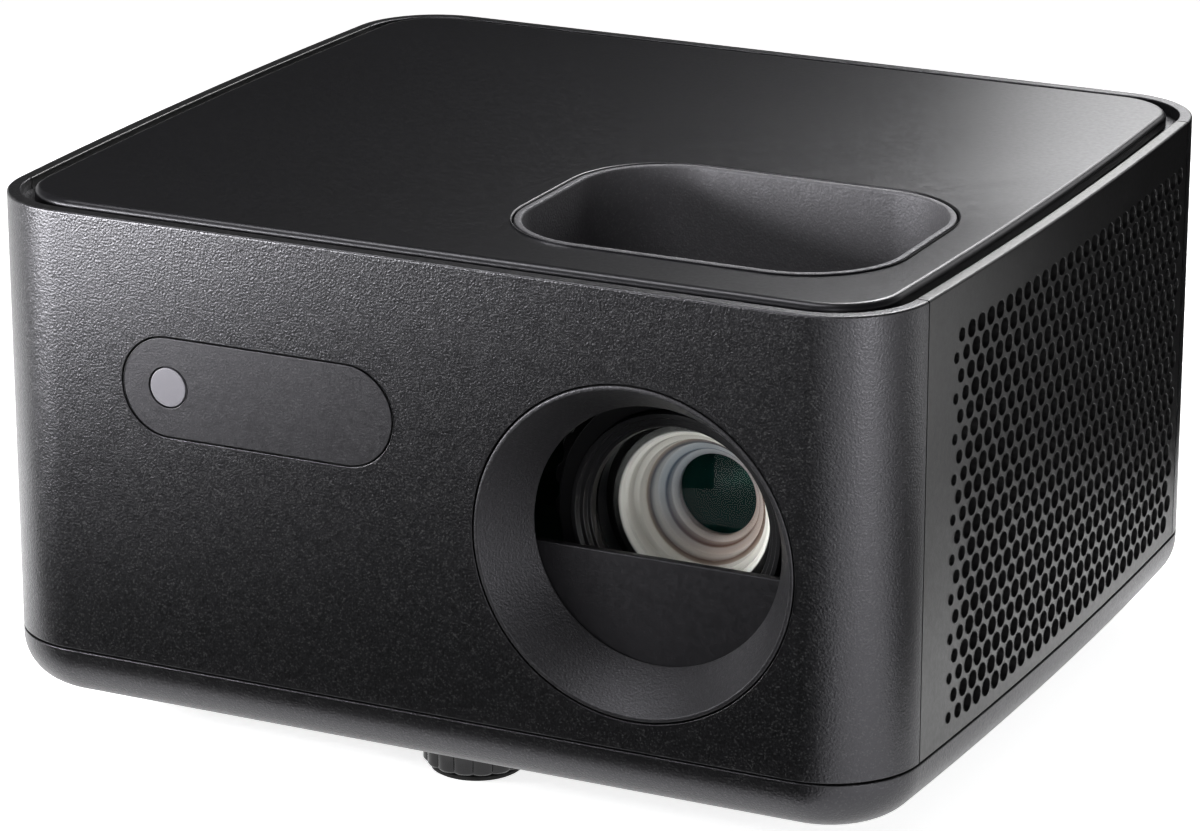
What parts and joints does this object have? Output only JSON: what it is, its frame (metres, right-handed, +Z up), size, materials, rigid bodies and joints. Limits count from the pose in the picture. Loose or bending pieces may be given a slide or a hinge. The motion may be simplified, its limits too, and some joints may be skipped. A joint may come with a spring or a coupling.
{
  "type": "home projector",
  "caption": "Compact black home projector: recessed lens in a conical opening, focus pocket in the top, perforated sides, adjusting foot.",
  "frame": {"origin": "middle of the footprint, on the surface that the feet stand on", "axes": "+X to the right of someone facing the lens, -Y the way the lens looks, +Z up"},
  "size_m": [0.22, 0.1972, 0.1242],
  "materials": {
    "casing": "fine leathery spark texture, satin, slightly metallic",
    "side_panel": "smooth satin",
    "top_plate": "very smooth satin paint",
    "gloss_black": "glossy moulded",
    "sensor_diffuser": "light grey diffuser",
    "foot_rubber": "matt rubber",
    "lens_black": "black anodised, bright edges",
    "lens_cell": "polished, stepped",
    "lens_glass": "anti-reflection coated",
    "inner_glass": "green-blue coated",
    "cast_metal": "cast and machined",
    "brass_insert": "turned",
    "circuit_board": "solder mask",
    "inner_plastic": "moulded",
    "socket_metal": "plated"
  },
  "bodies": {
    "housing": {"front_shell": "casing", "right_side_panel": "side_panel", "left_side_panel": "side_panel", "rear_panel": "casing", "bottom_tray": "casing", "top_panel": "top_plate", "pocket_liner": "casing", "lens_bezel": "casing", "lens_shelf": "side_panel", "lens_barrel": "lens_black", "lens_mount": "cast_metal", "sensor_window": "side_panel", "sensor_disc": "sensor_diffuser", "sensor_module": "circuit_board", "light_engine": "cast_metal", "heat_sink": "cast_metal", "exhaust_fan_frame": "inner_plastic", "intake_fan_frame": "inner_plastic", "right_speaker": "inner_plastic", "left_speaker": "inner_plastic", "main_board": "circuit_board", "power_supply": "circuit_board", "port_plate": "gloss_black", "hdmi_socket_1": "socket_metal", "hdmi_socket_2": "socket_metal", "usb_socket": "socket_metal", "power_inlet": "inner_plastic", "button_board": "circuit_board", "foot_insert": "brass_insert", "rear_right_foot": "foot_rubber", "rear_left_foot": "foot_rubber", "ceiling_insert_1": "brass_insert", "ceiling_insert_2": "brass_insert", "ceiling_insert_3": "brass_insert", "ceiling_insert_4": "brass_insert"},
    "focus_ring": {"focus_ring": "lens_black"},
    "focus_cell": {"focus_cell": "lens_black", "front_glass": "lens_glass"},
    "zoom_ring": {"zoom_ring": "lens_black"},
    "zoom_cell": {"zoom_cell": "lens_cell", "rear_glass": "inner_glass"},
    "exhaust_rotor": {"exhaust_fan_rotor": "inner_plastic"},
    "intake_rotor": {"intake_fan_rotor": "inner_plastic"},
    "power_button": {"power_button": "gloss_black"},
    "foot_pad": {"foot_pad": "foot_rubber"},
    "foot_knob": {"foot_knob": "gloss_black"}
  },
  "joints": [
    {"name": "focus_turn", "type": "hinge", "parent": "housing", "child": "focus_ring", "pos_m": [0.051, -0.0986, 0.0662], "axis": [0, 1, 0], "range_deg": [-40, 40]},
    {"name": "focus_travel", "type": "slide", "parent": "housing", "child": "focus_cell", "axis": [0, 1, 0], "range_m": [-0.0008, 0.0008]},
    {"name": "zoom_turn", "type": "hinge", "parent": "housing", "child": "zoom_ring", "pos_m": [0.051, -0.0986, 0.0662], "axis": [0, 1, 0], "range_deg": [-20, 20]},
    {"name": "zoom_travel", "type": "slide", "parent": "housing", "child": "zoom_cell", "axis": [0, 1, 0], "range_m": [-0.0018, 0.0018]},
    {"name": "exhaust_fan_spin", "type": "hinge", "parent": "housing", "child": "exhaust_rotor", "pos_m": [0.09048, 0.0416, 0.0608], "axis": [1, 0, 0], "continuous": true},
    {"name": "intake_fan_spin", "type": "hinge", "parent": "housing", "child": "intake_rotor", "pos_m": [-0.09048, -0.0416, 0.0608], "axis": [1, 0, 0], "continuous": true},
    {"name": "power_press", "type": "slide", "parent": "housing", "child": "power_button", "axis": [0, -1, 0], "range_m": [0, 0.0012], "stiffness_N_per_m": 600, "springref_m": -0.0008},
    {"name": "foot_lift", "type": "slide", "parent": "housing", "child": "foot_pad", "axis": [0, 0, -1], "range_m": [0, 0.009]},
    {"name": "foot_turn", "type": "hinge", "parent": "foot_pad", "child": "foot_knob", "pos_m": [0, -0.0701, 0], "axis": [0, 0, -1], "range_deg": [0, 1080]}
  ],
  "couplings": [
    {"joint": "focus_turn", "follows": "focus_travel", "rad_per_m": 871.79},
    {"joint": "zoom_turn", "follows": "zoom_travel", "rad_per_m": 193.73},
    {"joint": "foot_turn", "follows": "foot_lift", "rad_per_m": 2094.2}
  ]
}
